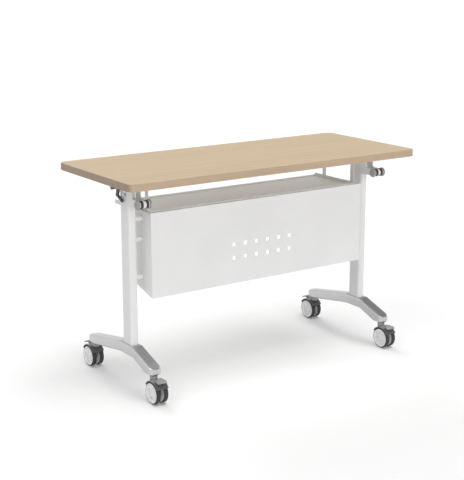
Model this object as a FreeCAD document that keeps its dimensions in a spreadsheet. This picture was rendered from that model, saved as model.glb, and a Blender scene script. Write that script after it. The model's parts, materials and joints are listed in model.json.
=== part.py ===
import FreeCAD, Part
import math
import os
from types import SimpleNamespace

import Sketcher

# Mobile training table with a flip top, in millimetres.
# X runs along the table, Y from its front (the modesty panel) to its user side, Z up.
# The origin lies on the floor under the middle of the table.

DIMENSIONS = {
    # Overall sizes
    "table_length": 1200,
    "table_depth": 500,
    "table_height": 750,
    "board_thickness": 25,
    "corner_radius": 25,
    "band_thickness": 2,
    "band_round": 1.2,
    # Clearances and cuts
    "slide_clearance": 0.2,
    "running_clearance": 0.05,
    "side_clearance": 0.3,
    "seat_clearance": 0.3,
    "overrun": 5,
    # Columns
    "column_inset": 100,
    "column_setback": 55,
    "column_width": 30,
    "column_depth": 60,
    "column_wall": 2,
    "column_corner": 10,
    # Feet
    "saddle_height": 162,
    "saddle_margin": 12,
    "foot_width": 44,
    "foot_reach": 225,
    "foot_end_top": 119,
    "foot_end_bottom": 94,
    "foot_boss_length": 46,
    "foot_arch_height": 124,
    "foot_bend_radius": 55,
    "foot_toe_radius": 18,
    "foot_end_radius": 19,
    "foot_edge_radius": 7,
    "foot_wall": 5,
    "foot_roof": 8,
    "foot_rib": 6,
    # Foot bolts and column inserts
    "foot_bolt_diameter": 10,
    "foot_bolt_head_diameter": 17,
    "foot_bolt_head_height": 8,
    "foot_bolt_length": 60,
    "insert_height": 32,
    # Leg heads
    "head_spigot_length": 38,
    "head_shoulder_drop": 27,
    "head_skirt": 10,
    "head_post_width": 22,
    "head_post_depth": 34,
    "head_arm_width": 12,
    "head_arm_height": 20,
    "head_edge_radius": 4,
    "rest_pad_diameter": 18,
    "rest_pad_height": 8.7,
    "rest_pad_spigot_diameter": 8,
    "rest_pad_spigot_length": 6,
    # Flip hinge
    "hinge_setback": 156,
    "hinge_drop": 65,
    "hinge_pin_diameter": 10,
    "hinge_eye_radius": 12,
    "hinge_cap_radius": 16,
    "hinge_cap_width": 6,
    "hinge_cap_floor": 2,
    "hinge_cap_round": 2,
    "hinge_bushing_radius": 14,
    # Flip brackets
    "bracket_sheet": 4,
    "bracket_flange_width": 72,
    "bracket_front": 110,
    "bracket_back": 62,
    "bracket_web_back": 80,
    "bracket_rib_depth": 26,
    "bracket_neck_height": 24,
    "bracket_bend_radius": 10,
    "bracket_corner_radius": 14,
    "bracket_screw_inset": 18,
    "bracket_screw_side": 27,
    # Wood screws
    "screw_diameter": 5,
    "screw_length": 18,
    "screw_head_diameter": 9.5,
    "screw_head_height": 2.6,
    # Release levers and catch pins
    "lever_pivot_drop": 16,
    "lever_pivot_setback": 35,
    "lever_pivot_diameter": 6,
    "lever_pivot_head_diameter": 10,
    "lever_pivot_head_height": 2,
    "lever_thickness": 6,
    "lever_hub_radius": 10,
    "lever_hook_reach": 44,
    "lever_hook_width": 9,
    "lever_handle_reach": 42,
    "lever_handle_drop": 34,
    "lever_handle_width": 13,
    "lever_open_angle": 25,
    "lever_edge_radius": 3,
    "catch_pin_drop": 14,
    "catch_pin_setback": 70,
    "catch_pin_diameter": 8,
    "catch_pin_reach": 12,
    "catch_pin_depth": 10,
    # Crossbeam
    "beam_height": 50,
    "beam_depth": 25,
    "beam_wall": 2,
    "beam_corner": 4,
    "beam_drop": 170,
    "beam_plate_thickness": 6,
    "beam_plate_height": 92,
    "beam_plate_depth": 40,
    "beam_plate_corner": 6,
    "beam_bolt_spacing": 70,
    # Modesty panel
    "panel_side_gap": 33,
    "panel_front": 122,
    "panel_drop": 107,
    "panel_height": 292,
    "panel_sheet": 1.5,
    "panel_flange_depth": 104,
    "panel_flange_rise": 28,
    "panel_lip": 12,
    "panel_fold_radius": 3,
    "panel_low_bolt_rise": 64,
    "hole_size": 14,
    "hole_pitch": 48,
    "hole_rise": 116,
    # Bolts, spacers and rivet nuts of the beam and panel
    "bolt_diameter": 8,
    "bolt_head_diameter": 14,
    "bolt_head_height": 4.5,
    "spacer_diameter": 18,
    "rivet_nut_diameter": 12,
    "rivet_nut_flange_diameter": 16,
    "rivet_nut_flange_height": 1,
    "rivet_nut_length": 16,
    # Book tray
    "tray_side_gap": 10,
    "tray_front": 100,
    "tray_back": 140,
    "tray_drop": 119,
    "tray_sheet": 1.2,
    "tray_front_lip": 14,
    "tray_back_lip": 7,
    "tray_side_lip": 14,
    "hanger_width": 20,
    "hanger_sheet": 2,
    "hanger_foot": 24,
    "hanger_front_inset": 20,
    "hanger_back_inset": 56,
    "tray_rivet_diameter": 4,
    "tray_rivet_head_diameter": 8,
    "tray_rivet_head_height": 1.6,
    # Casters
    "caster_inset": 22,
    "caster_trail": 20,
    "wheel_radius": 37.5,
    "wheel_width": 16,
    "wheel_inner_face": 6.5,
    "tyre_thickness": 3.5,
    "tyre_crown": 1,
    "hub_face_depth": 3.5,
    "hub_rim": 4,
    "hub_boss_radius": 9,
    "axle_diameter": 8,
    "stem_diameter": 11,
    "stem_engagement": 19,
    "stem_collar_diameter": 22,
    "stem_collar_height": 3,
    "hood_web": 11,
    "hood_gap": 2.5,
    "hood_shell": 3,
    "hood_sweep_angle": 120,
    "hood_boss_diameter": 26,
    "hood_boss_height": 15,
    "hood_socket_floor": 3,
    "hood_web_foot": 12,
    "hood_web_spread": 32,
    # Brake pedals
    "pedal_pivot_offset": 18,
    "pedal_pivot_rise": 46,
    "pedal_pivot_diameter": 5,
    "pedal_lug_radius": 5,
    "pedal_reach": 19,
    "pedal_width": 34,
    "pedal_thickness": 4,
    "pedal_ear": 4,
    "pedal_swing_gap": 1.6,
}

# Shares of the sizes that they follow
SCREW_CROWN_SHARE = 2 / 3
PAD_TAPER_SHARE = 5 / 6
BOLT_BROW_SHARE = 1 / 3
BOLT_CROWN_SHARE = 3 / 4
LEVER_WAIST_SHARE = 3 / 2
HUB_BOSS_SINK_SHARE = 1 / 3
HANGER_TOE_SHARE = 1 / 4
MOSTLY_ALONG_SHARE = 0.9

# Edges closer together than this are at the same place
SAME_PLACE = 0.01


class Size:
    """A length that knows its value and the sheet expression that gives it."""

    def __init__(self, value, text):
        self.value = value
        self.text = text

    def __add__(self, other):
        other = as_size(other)
        return Size(self.value + other.value, f"({self.text} + {other.text})")

    def __sub__(self, other):
        other = as_size(other)
        return Size(self.value - other.value, f"({self.text} - {other.text})")

    def __mul__(self, other):
        other = as_size(other)
        return Size(self.value * other.value, f"({self.text} * {other.text})")

    def __truediv__(self, other):
        other = as_size(other)
        return Size(self.value / other.value, f"({self.text} / {other.text})")

    def __neg__(self):
        return Size(-self.value, f"(-{self.text})")

    __rmul__ = __mul__


def as_size(number):
    if isinstance(number, Size):
        return number
    return Size(float(number), str(number))


ZERO = as_size(0)

doc = FreeCAD.newDocument("training_table")
sheet = doc.addObject("Spreadsheet::Sheet", "Dimensions")
for row, (name, value) in enumerate(DIMENSIONS.items(), start=1):
    sheet.set(f"A{row}", name)
    sheet.set(f"B{row}", str(value))
    sheet.setAlias(f"B{row}", name)
doc.recompute()
d = SimpleNamespace(**{name: Size(float(value), f"Dimensions.{name}") for name, value in DIMENSIONS.items()})


# Building blocks

def new_body(label, x=ZERO, y=ZERO, z=ZERO, turn=0):
    """A body at a bound place, turned about its own vertical axis by a number of degrees."""
    body = doc.addObject("PartDesign::Body", label)
    body.Label = label
    rotation = FreeCAD.Rotation(FreeCAD.Vector(0, 0, 1), turn)
    body.Placement = FreeCAD.Placement(FreeCAD.Vector(x.value, y.value, z.value), rotation)
    for axis, place in (("x", x), ("y", y), ("z", z)):
        body.setExpression(f"Placement.Base.{axis}", place.text)
    return body


def new_sketch(body, plane, level=None):
    """A sketch on one of the body's own origin planes, lifted along the plane's normal."""
    sketch = body.newObject("Sketcher::SketchObject", f"{body.Label}_sketch")
    support = [feature for feature in body.Origin.OriginFeatures if feature.Role == f"{plane}_Plane"][0]
    sketch.AttachmentSupport = [(support, "")]
    sketch.MapMode = "FlatFace"
    if level is not None:
        sketch.setExpression("AttachmentOffset.Base.z", level.text)
    return sketch


def place_point(sketch, geometry, position, u, v):
    for kind, place, axis in (("DistanceX", u, -2), ("DistanceY", v, -1)):
        if place is ZERO:
            sketch.addConstraint(Sketcher.Constraint("PointOnObject", geometry, position, axis))
            continue
        constraint = Sketcher.Constraint(kind, -1, 1, geometry, position, place.value)
        index = sketch.addConstraint(constraint)
        sketch.setExpression(f"Constraints[{index}]", place.text)


def polygon(sketch, points):
    first = sketch.GeometryCount
    count = len(points)
    corners = [FreeCAD.Vector(u.value, v.value, 0) for u, v in points]
    for index in range(count):
        sketch.addGeometry(Part.LineSegment(corners[index], corners[(index + 1) % count]))
    for index, (u, v) in enumerate(points):
        following = first + (index + 1) % count
        sketch.addConstraint(Sketcher.Constraint("Coincident", first + index, 2, following, 1))
        place_point(sketch, first + index, 1, u, v)


def rectangle(sketch, left, right, low, high):
    polygon(sketch, [(left, low), (right, low), (right, high), (left, high)])


def rounded_rectangle(sketch, half_u, half_v, radius):
    """A rectangle about the sketch's origin: four straight runs joined by tangent quarter circles."""
    first = sketch.GeometryCount
    normal = FreeCAD.Vector(0, 0, 1)
    corners = [(1, -1), (1, 1), (-1, 1), (-1, -1)]
    centres = [(sign_u * (half_u - radius), sign_v * (half_v - radius)) for sign_u, sign_v in corners]
    ends = []
    for index, (u, v) in enumerate(centres):
        ring = Part.Circle(FreeCAD.Vector(u.value, v.value, 0), normal, radius.value)
        arc = Part.ArcOfCircle(ring, math.radians(90 * index - 90), math.radians(90 * index))
        ends.append((arc.StartPoint, arc.EndPoint))
        geometry = sketch.addGeometry(arc)
        place_point(sketch, geometry, 3, u, v)
        constraint = sketch.addConstraint(Sketcher.Constraint("Radius", geometry, radius.value))
        sketch.setExpression(f"Constraints[{constraint}]", radius.text)
    for index in range(4):
        following = (index + 1) % 4
        line = sketch.addGeometry(Part.LineSegment(ends[index][1], ends[following][0]))
        sketch.addConstraint(Sketcher.Constraint("Tangent", first + index, 2, line, 1))
        sketch.addConstraint(Sketcher.Constraint("Tangent", line, 2, first + following, 1))


def circle(sketch, u, v, radius):
    centre = FreeCAD.Vector(u.value, v.value, 0)
    geometry = sketch.addGeometry(Part.Circle(centre, FreeCAD.Vector(0, 0, 1), radius.value))
    index = sketch.addConstraint(Sketcher.Constraint("Radius", geometry, radius.value))
    sketch.setExpression(f"Constraints[{index}]", radius.text)
    place_point(sketch, geometry, 3, u, v)


def pad(body, sketch, length, symmetric=False, reverse=False):
    feature = body.newObject("PartDesign::Pad", f"{body.Label}_pad")
    feature.Profile = sketch
    feature.setExpression("Length", length.text)
    feature.SideType = "Symmetric" if symmetric else "One side"
    feature.Reversed = reverse
    doc.recompute()
    return feature


def pocket(body, sketch, length, symmetric=False, reverse=False):
    before = body.Shape.Volume
    feature = body.newObject("PartDesign::Pocket", f"{body.Label}_pocket")
    feature.Profile = sketch
    feature.setExpression("Length", length.text)
    feature.SideType = "Symmetric" if symmetric else "One side"
    feature.Reversed = reverse
    doc.recompute()
    if body.Shape.Volume >= before:
        raise RuntimeError(f"a pocket of {body.Label} cuts nothing")
    return feature


def round_edges(body, radius, names):
    if not names:
        raise RuntimeError(f"no edge to round on {body.Label}")
    base = body.Tip
    fillet = body.newObject("PartDesign::Fillet", f"{body.Label}_fillet")
    fillet.Base = (base, names)
    fillet.setExpression("Radius", radius.text)
    doc.recompute()
    if "Invalid" in fillet.State:
        raise RuntimeError(f"a fillet of {body.Label} failed")


def edges_along(body, axis, places):
    """Names of the straight edges along an axis (0, 1, 2) that pass through places in the other two axes."""
    others = [index for index in range(3) if index != axis]
    names = []
    for number, edge in enumerate(body.Tip.Shape.Edges, start=1):
        if edge.Curve.TypeId != "Part::GeomLine":
            continue
        direction = edge.Curve.Direction
        if abs(abs(direction[axis]) - 1) > SAME_PLACE:
            continue
        centre = edge.CenterOfMass
        for first, second in places:
            near_first = abs(centre[others[0]] - first.value) < SAME_PLACE
            near_second = abs(centre[others[1]] - second.value) < SAME_PLACE
            if near_first and near_second:
                names.append(f"Edge{number}")
    return names


def box_corners(half_first, half_second):
    return [(first, second) for first in (-half_first, half_first) for second in (-half_second, half_second)]


def rounded_block(label, half_x, half_y, low, high, radius, x, y):
    """An upright block with rounded vertical edges, standing between two heights."""
    body = new_body(label, x, y)
    sketch = new_sketch(body, "XY", low)
    rounded_rectangle(sketch, half_x, half_y, radius)
    pad(body, sketch, high - low)
    return body


def hollow_block(body, half_x, half_y, low, length, radius):
    """Cuts a rounded hole down the middle of an upright block."""
    sketch = new_sketch(body, "XY", low)
    rounded_rectangle(sketch, half_x, half_y, radius)
    pocket(body, sketch, length, reverse=True)


def turned_across(label, outline, x=ZERO, y=ZERO, z=ZERO, turn=0):
    """A turned piece whose axis runs along X: points are places along X and radii."""
    body = new_body(label, x, y, z, turn)
    sketch = new_sketch(body, "XY")
    polygon(sketch, outline)
    revolve(body, sketch, "H_Axis")
    return body


def turned_upright(label, outline, x=ZERO, y=ZERO, z=ZERO):
    """A turned piece whose axis is vertical: points are radii and heights."""
    body = new_body(label, x, y, z)
    sketch = new_sketch(body, "XZ")
    polygon(sketch, outline)
    revolve(body, sketch, "V_Axis")
    return body


def revolve(body, sketch, axis, angle=None):
    feature = body.newObject("PartDesign::Revolution", f"{body.Label}_revolution")
    feature.Profile = sketch
    feature.ReferenceAxis = (sketch, [axis])
    feature.Angle = 360
    if angle is not None:
        feature.setExpression("Angle", angle.text)
        feature.Midplane = True
    doc.recompute()
    return feature


nodes = []


def keep(body):
    nodes.append(body)
    return body


def keep_group(label, bodies):
    """Identical pieces share one node as separate solids."""
    compound = doc.addObject("Part::Compound", label)
    compound.Label = label
    compound.Links = bodies
    nodes.append(compound)


# Places that several pieces share
SIDES = {"left": -1, "right": 1}
column_offset = d.table_length / 2 - d.column_inset
column_x = {side: sign * column_offset for side, sign in SIDES.items()}
column_y = -d.column_setback
column_low = d.saddle_height
board_low = d.table_height - d.board_thickness
hinge_y = -d.hinge_setback
cheek_inner = d.column_width / 2 + d.side_clearance
cheek_outer = cheek_inner + d.bracket_sheet
bracket_low = board_low - d.bracket_sheet
hinge_height = board_low - d.hinge_drop
column_top = hinge_height - d.head_arm_height / 2 - d.head_skirt
head_shoulder_top = bracket_low - d.head_shoulder_drop
head_post_top = bracket_low - d.seat_clearance - d.rest_pad_height
lever_y = -d.lever_pivot_setback
lever_pivot_height = bracket_low - d.lever_pivot_drop
catch_pin_height = head_shoulder_top - d.catch_pin_drop
beam_level = board_low - d.beam_drop
panel_half = column_offset - d.column_width / 2 - d.panel_side_gap
panel_top = board_low - d.panel_drop
panel_bottom = panel_top - d.panel_height
panel_low_bolt_level = panel_bottom + d.panel_low_bolt_rise
hole_level = panel_bottom + d.hole_rise
tray_half = panel_half - d.tray_side_gap
tray_level = board_low - d.tray_drop
caster_reach = d.foot_reach - d.caster_inset
saddle_back = column_y + d.column_depth / 2 + d.saddle_margin
saddle_front = column_y - d.column_depth / 2 - d.saddle_margin
beam_bolt_levels = [beam_level - d.beam_bolt_spacing / 2, beam_level + d.beam_bolt_spacing / 2]
panel_inner_half = panel_half - d.panel_sheet
bolt_hole_radius = d.bolt_diameter / 2 + d.running_clearance


# Board and edge band

def make_tabletop():
    board = rounded_block(
        "tabletop",
        d.table_length / 2 - d.band_thickness,
        d.table_depth / 2 - d.band_thickness,
        board_low,
        d.table_height,
        d.corner_radius - d.band_thickness,
        ZERO,
        ZERO,
    )
    for x, y in bracket_screw_places() + hanger_screw_places():
        sketch = new_sketch(board, "XY", board_low)
        circle(sketch, x, y, d.screw_diameter / 2 + d.running_clearance)
        pocket(board, sketch, d.screw_length, reverse=True)
    return board


def make_edge_band():
    half_x = d.table_length / 2
    half_y = d.table_depth / 2
    band = rounded_block("edge_band", half_x, half_y, board_low, d.table_height, d.corner_radius, ZERO, ZERO)
    rim = []
    for number, edge in enumerate(band.Tip.Shape.Edges, start=1):
        if edge.BoundBox.ZLength < d.band_round.value:
            rim.append(f"Edge{number}")
    round_edges(band, d.band_round, rim)
    hollow_block(
        band,
        half_x - d.band_thickness,
        half_y - d.band_thickness,
        board_low - d.overrun,
        d.board_thickness + 2 * d.overrun,
        d.corner_radius - d.band_thickness,
    )
    return band


# Flip brackets under the board

def bracket_screw_places():
    front = -d.bracket_front + d.bracket_screw_inset
    back = d.bracket_back - d.bracket_screw_inset
    places = []
    for side in SIDES:
        for across in (-d.bracket_screw_side, d.bracket_screw_side):
            for y in (front, (front + back) / 2, back):
                places.append((column_x[side] + across, y))
    return places


def make_flip_bracket(side):
    bracket = new_body(f"flip_bracket_{side}", column_x[side])
    sketch = new_sketch(bracket, "XY", bracket_low)
    half = d.bracket_flange_width / 2
    rectangle(sketch, -half, half, -d.bracket_front, d.bracket_back)
    pad(bracket, sketch, d.bracket_sheet)
    flange_corners = [(x, y) for x in (-half, half) for y in (-d.bracket_front, d.bracket_back)]
    round_edges(bracket, d.bracket_corner_radius, edges_along(bracket, 2, flange_corners))

    neck_low = hinge_height - d.bracket_neck_height / 2
    neck_top = hinge_height + d.bracket_neck_height / 2
    web_back = -d.bracket_web_back
    rib_low = bracket_low - d.bracket_rib_depth
    outline = [
        (hinge_y, neck_low),
        (web_back, neck_low),
        (web_back, rib_low),
        (d.bracket_back, rib_low),
        (d.bracket_back, bracket_low),
        (-d.bracket_front, bracket_low),
        (-d.bracket_front, neck_top),
        (hinge_y, neck_top),
    ]
    for low in (-cheek_outer, cheek_inner):
        cheek = new_sketch(bracket, "YZ", low)
        polygon(cheek, outline)
        pad(bracket, cheek, d.bracket_sheet)
        eye = new_sketch(bracket, "YZ", low)
        circle(eye, hinge_y, hinge_height, d.hinge_eye_radius)
        pad(bracket, eye, d.bracket_sheet)
    bends = [(-d.bracket_front, neck_top), (web_back, rib_low)]
    round_edges(bracket, d.bracket_bend_radius, edges_along(bracket, 0, bends))
    lower_corners = [(web_back, neck_low), (d.bracket_back, rib_low)]
    round_edges(bracket, d.bracket_corner_radius, edges_along(bracket, 0, lower_corners))

    bore = new_sketch(bracket, "YZ")
    circle(bore, hinge_y, hinge_height, d.hinge_pin_diameter / 2 + d.running_clearance)
    circle(bore, lever_y, lever_pivot_height, d.lever_pivot_diameter / 2 + d.running_clearance)
    pocket(bracket, bore, 2 * (cheek_outer + d.overrun), symmetric=True)
    screws = new_sketch(bracket, "XY", bracket_low - d.overrun)
    for x, y in bracket_screw_places()[:6]:
        circle(screws, x - column_x["left"], y, d.screw_diameter / 2 + d.running_clearance)
    pocket(bracket, screws, d.bracket_sheet + 2 * d.overrun, reverse=True)
    return bracket


def make_wood_screw(label, x, y, head_top):
    """A pan-head screw driven up into the board from below a sheet."""
    shank = d.screw_diameter / 2
    head = d.screw_head_diameter / 2
    tip = board_low + d.screw_length - d.overrun / 2
    outline = [
        (ZERO, head_top - d.screw_head_height),
        (head * SCREW_CROWN_SHARE, head_top - d.screw_head_height),
        (head, head_top - d.screw_head_height / 2),
        (head, head_top),
        (shank, head_top),
        (shank, tip - shank),
        (ZERO, tip),
    ]
    return turned_upright(label, outline, x, y)


# Columns, feet and what joins them

def make_column(side):
    half_x = d.column_width / 2
    half_y = d.column_depth / 2
    label = f"column_{side}"
    column = rounded_block(
        label, half_x, half_y, column_low, column_top, d.column_corner, column_x[side], column_y
    )
    hollow_block(
        column,
        half_x - d.column_wall,
        half_y - d.column_wall,
        column_low - d.overrun,
        column_top - column_low + 2 * d.overrun,
        d.column_corner - d.column_wall,
    )
    holes = new_sketch(column, "YZ")
    for level in beam_bolt_levels + [panel_low_bolt_level]:
        circle(holes, ZERO, level, d.rivet_nut_diameter / 2 + d.running_clearance)
    inward = SIDES[side] < 0
    pocket(column, holes, half_x + d.overrun, reverse=inward)
    return column


def foot_top(y, end):
    """Height of the foot's top line between the saddle and one end."""
    edge = saddle_back if end > 0 else saddle_front
    return d.saddle_height - (d.saddle_height - d.foot_end_top) * (y - edge) / (end * d.foot_reach - edge)


def make_foot(side):
    foot = new_body(f"foot_{side}", column_x[side])
    toe = d.foot_reach - d.foot_boss_length
    outline = [
        (-d.foot_reach, d.foot_end_bottom),
        (-toe, d.foot_end_bottom),
        (saddle_front, d.foot_arch_height),
        (saddle_back, d.foot_arch_height),
        (toe, d.foot_end_bottom),
        (d.foot_reach, d.foot_end_bottom),
        (d.foot_reach, d.foot_end_top),
        (saddle_back, d.saddle_height),
        (saddle_front, d.saddle_height),
        (-d.foot_reach, d.foot_end_top),
    ]
    sketch = new_sketch(foot, "YZ")
    polygon(sketch, outline)
    pad(foot, sketch, d.foot_width, symmetric=True)
    round_edges(foot, d.foot_bend_radius, edges_along(foot, 0, [outline[2], outline[3]]))
    round_edges(foot, d.foot_toe_radius, edges_along(foot, 0, [outline[1], outline[4]]))
    half = d.foot_width / 2
    ends = [(x, y) for x in (-half, half) for y in (-d.foot_reach, d.foot_reach)]
    round_edges(foot, d.foot_end_radius, edges_along(foot, 2, ends))
    crown = []
    for number, edge in enumerate(foot.Tip.Shape.Edges, start=1):
        box = edge.BoundBox
        on_side = box.XLength > SAME_PLACE or abs(abs(box.Center.x) - half.value) < SAME_PLACE
        across = edge.Curve.TypeId == "Part::GeomLine" and abs(edge.Curve.Direction.x) > MOSTLY_ALONG_SHARE
        if box.ZMin > d.foot_end_top.value - SAME_PLACE and on_side and not across:
            crown.append(f"Edge{number}")
    round_edges(foot, d.foot_edge_radius, crown)

    inner = d.foot_width - 2 * d.foot_wall
    back_wall = saddle_back + d.foot_rib
    middle_rib = (saddle_back + toe) / 2
    cavities = [
        (back_wall, middle_rib - d.foot_rib / 2, 1),
        (middle_rib + d.foot_rib / 2, toe, 1),
        (-toe, saddle_front - d.foot_rib, -1),
    ]
    for low, high, end in cavities:
        cavity = new_sketch(foot, "YZ")
        below = d.foot_end_bottom - d.overrun
        points = [
            (low, below),
            (high, below),
            (high, foot_top(high, end) - d.foot_roof),
            (low, foot_top(low, end) - d.foot_roof),
        ]
        polygon(cavity, points)
        pocket(foot, cavity, inner, symmetric=True)

    bolt = new_sketch(foot, "XY", d.foot_arch_height - d.overrun)
    circle(bolt, ZERO, column_y, d.foot_bolt_diameter / 2 + d.running_clearance)
    pocket(foot, bolt, d.saddle_height - d.foot_arch_height + 2 * d.overrun, reverse=True)
    counterbore = new_sketch(foot, "XY", d.foot_arch_height - d.overrun)
    circle(counterbore, ZERO, column_y, d.foot_bolt_head_diameter / 2 + d.slide_clearance)
    pocket(foot, counterbore, d.foot_bolt_head_height + d.overrun, reverse=True)
    for y in (-caster_reach, caster_reach):
        socket = new_sketch(foot, "XY", d.foot_end_bottom - d.overrun)
        circle(socket, ZERO, y, d.stem_diameter / 2 + d.running_clearance)
        pocket(foot, socket, d.stem_engagement + d.overrun, reverse=True)
    return foot


def make_column_insert(side):
    half_x = d.column_width / 2 - d.column_wall - d.slide_clearance
    half_y = d.column_depth / 2 - d.column_wall - d.slide_clearance
    corner = d.column_corner - d.column_wall - d.slide_clearance
    top = column_low + d.insert_height
    label = f"column_insert_{side}"
    insert = rounded_block(label, half_x, half_y, column_low, top, corner, column_x[side], column_y)
    sketch = new_sketch(insert, "XY", column_low - d.overrun)
    circle(sketch, ZERO, ZERO, d.foot_bolt_diameter / 2 + d.running_clearance)
    pocket(insert, sketch, d.insert_height + 2 * d.overrun, reverse=True)
    return insert


def make_foot_bolt(side):
    head_low = d.foot_arch_height
    head_top = head_low + d.foot_bolt_head_height
    shank = d.foot_bolt_diameter / 2
    head = d.foot_bolt_head_diameter / 2
    outline = [
        (ZERO, head_low),
        (head, head_low),
        (head, head_top),
        (shank, head_top),
        (shank, head_top + d.foot_bolt_length),
        (ZERO, head_top + d.foot_bolt_length),
    ]
    return turned_upright(f"foot_bolt_{side}", outline, column_x[side], column_y)


# Leg heads with the hinge arm, the rest post and the catch pin

def make_head(side):
    spigot_half_x = d.column_width / 2 - d.column_wall - d.slide_clearance
    spigot_half_y = d.column_depth / 2 - d.column_wall - d.slide_clearance
    half_x = d.column_width / 2
    half_y = d.column_depth / 2
    head = new_body(f"head_{side}", column_x[side], column_y)
    shoulder = new_sketch(head, "XY", column_top)
    rounded_rectangle(shoulder, half_x, half_y, d.column_corner)
    pad(head, shoulder, head_shoulder_top - column_top)
    shoulder_rim = []
    for number, edge in enumerate(head.Tip.Shape.Edges, start=1):
        if edge.BoundBox.ZMin > head_shoulder_top.value - SAME_PLACE:
            shoulder_rim.append(f"Edge{number}")
    round_edges(head, d.head_edge_radius, shoulder_rim)
    spigot = new_sketch(head, "XY", column_top - d.head_spigot_length)
    spigot_corner = d.column_corner - d.column_wall - d.slide_clearance
    rounded_rectangle(spigot, spigot_half_x, spigot_half_y, spigot_corner)
    pad(head, spigot, d.head_spigot_length)
    post = new_sketch(head, "XY", head_shoulder_top - d.overrun)
    rounded_rectangle(post, d.head_post_width / 2, d.head_post_depth / 2, d.head_edge_radius)
    pad(head, post, head_post_top - head_shoulder_top + d.overrun)

    arm_low = hinge_height - d.head_arm_height / 2
    arm_top = hinge_height + d.head_arm_height / 2
    arm_back = -half_y + d.overrun
    eye_y = hinge_y - column_y
    arm = new_sketch(head, "YZ")
    polygon(arm, [(eye_y, arm_low), (arm_back, arm_low), (arm_back, arm_top), (eye_y, arm_top)])
    pad(head, arm, d.head_arm_width, symmetric=True)
    eye = new_sketch(head, "YZ")
    circle(eye, eye_y, hinge_height, d.hinge_eye_radius)
    pad(head, eye, d.head_arm_width, symmetric=True)
    bore = new_sketch(head, "YZ")
    circle(bore, eye_y, hinge_height, d.hinge_pin_diameter / 2 + d.running_clearance)
    pocket(head, bore, d.column_width, symmetric=True)

    outer = SIDES[side] > 0
    catch = new_sketch(head, "YZ", SIDES[side] * (half_x - d.catch_pin_depth))
    catch_radius = d.catch_pin_diameter / 2 + d.running_clearance
    circle(catch, -d.catch_pin_setback - column_y, catch_pin_height, catch_radius)
    pocket(head, catch, d.catch_pin_depth + d.overrun, reverse=outer)
    pad_socket = new_sketch(head, "XY", head_post_top - d.rest_pad_spigot_length)
    circle(pad_socket, ZERO, ZERO, d.rest_pad_spigot_diameter / 2 + d.running_clearance)
    pocket(head, pad_socket, d.rest_pad_spigot_length + d.overrun, reverse=True)
    return head


def make_rest_pad(side):
    top = bracket_low - d.seat_clearance
    radius = d.rest_pad_diameter / 2
    stem = d.rest_pad_spigot_diameter / 2
    outline = [
        (ZERO, head_post_top - d.rest_pad_spigot_length),
        (stem, head_post_top - d.rest_pad_spigot_length),
        (stem, head_post_top),
        (radius, head_post_top),
        (radius * PAD_TAPER_SHARE, top),
        (ZERO, top),
    ]
    return turned_upright(f"rest_pad_{side}", outline, column_x[side], column_y)


def make_catch_pin(side):
    inner = d.column_width / 2 - d.catch_pin_depth
    outer = d.column_width / 2 + d.catch_pin_reach
    sign = SIDES[side]
    radius = d.catch_pin_diameter / 2
    outline = [(sign * inner, ZERO), (sign * outer, ZERO), (sign * outer, radius), (sign * inner, radius)]
    label = f"catch_pin_{side}"
    return turned_across(label, outline, column_x[side], -d.catch_pin_setback, catch_pin_height)


# Flip hinge

hinge_cap_low = cheek_outer + d.side_clearance
hinge_pin_end = hinge_cap_low + d.hinge_cap_width - d.hinge_cap_floor


def make_hinge_pin(side):
    radius = d.hinge_pin_diameter / 2
    end = hinge_pin_end
    outline = [(-end, ZERO), (end, ZERO), (end, radius), (-end, radius)]
    return turned_across(f"hinge_pin_{side}", outline, column_x[side], hinge_y, hinge_height)


def make_hinge_bushing(side, sign):
    bore = d.hinge_pin_diameter / 2 + d.running_clearance
    inner = sign * d.head_arm_width / 2
    outer = sign * (cheek_inner - d.side_clearance)
    outline = [(inner, bore), (outer, bore), (outer, d.hinge_bushing_radius), (inner, d.hinge_bushing_radius)]
    return turned_across(f"hinge_bushing_{side}_{sign + 1}", outline, column_x[side], hinge_y, hinge_height)


def make_hinge_cap(side, sign):
    bore = d.hinge_pin_diameter / 2 + d.running_clearance
    inner = sign * hinge_cap_low
    floor = sign * hinge_pin_end
    outer = sign * (hinge_cap_low + d.hinge_cap_width)
    shoulder = sign * (hinge_cap_low + d.hinge_cap_width - d.hinge_cap_round)
    outline = [
        (inner, bore),
        (floor, bore),
        (floor, ZERO),
        (outer, ZERO),
        (outer, d.hinge_cap_radius - d.hinge_cap_round),
        (shoulder, d.hinge_cap_radius),
        (inner, d.hinge_cap_radius),
    ]
    return turned_across(f"hinge_cap_{side}_{sign + 1}", outline, column_x[side], hinge_y, hinge_height)


# Release levers, shown released

lever_low = cheek_outer + d.side_clearance


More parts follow.
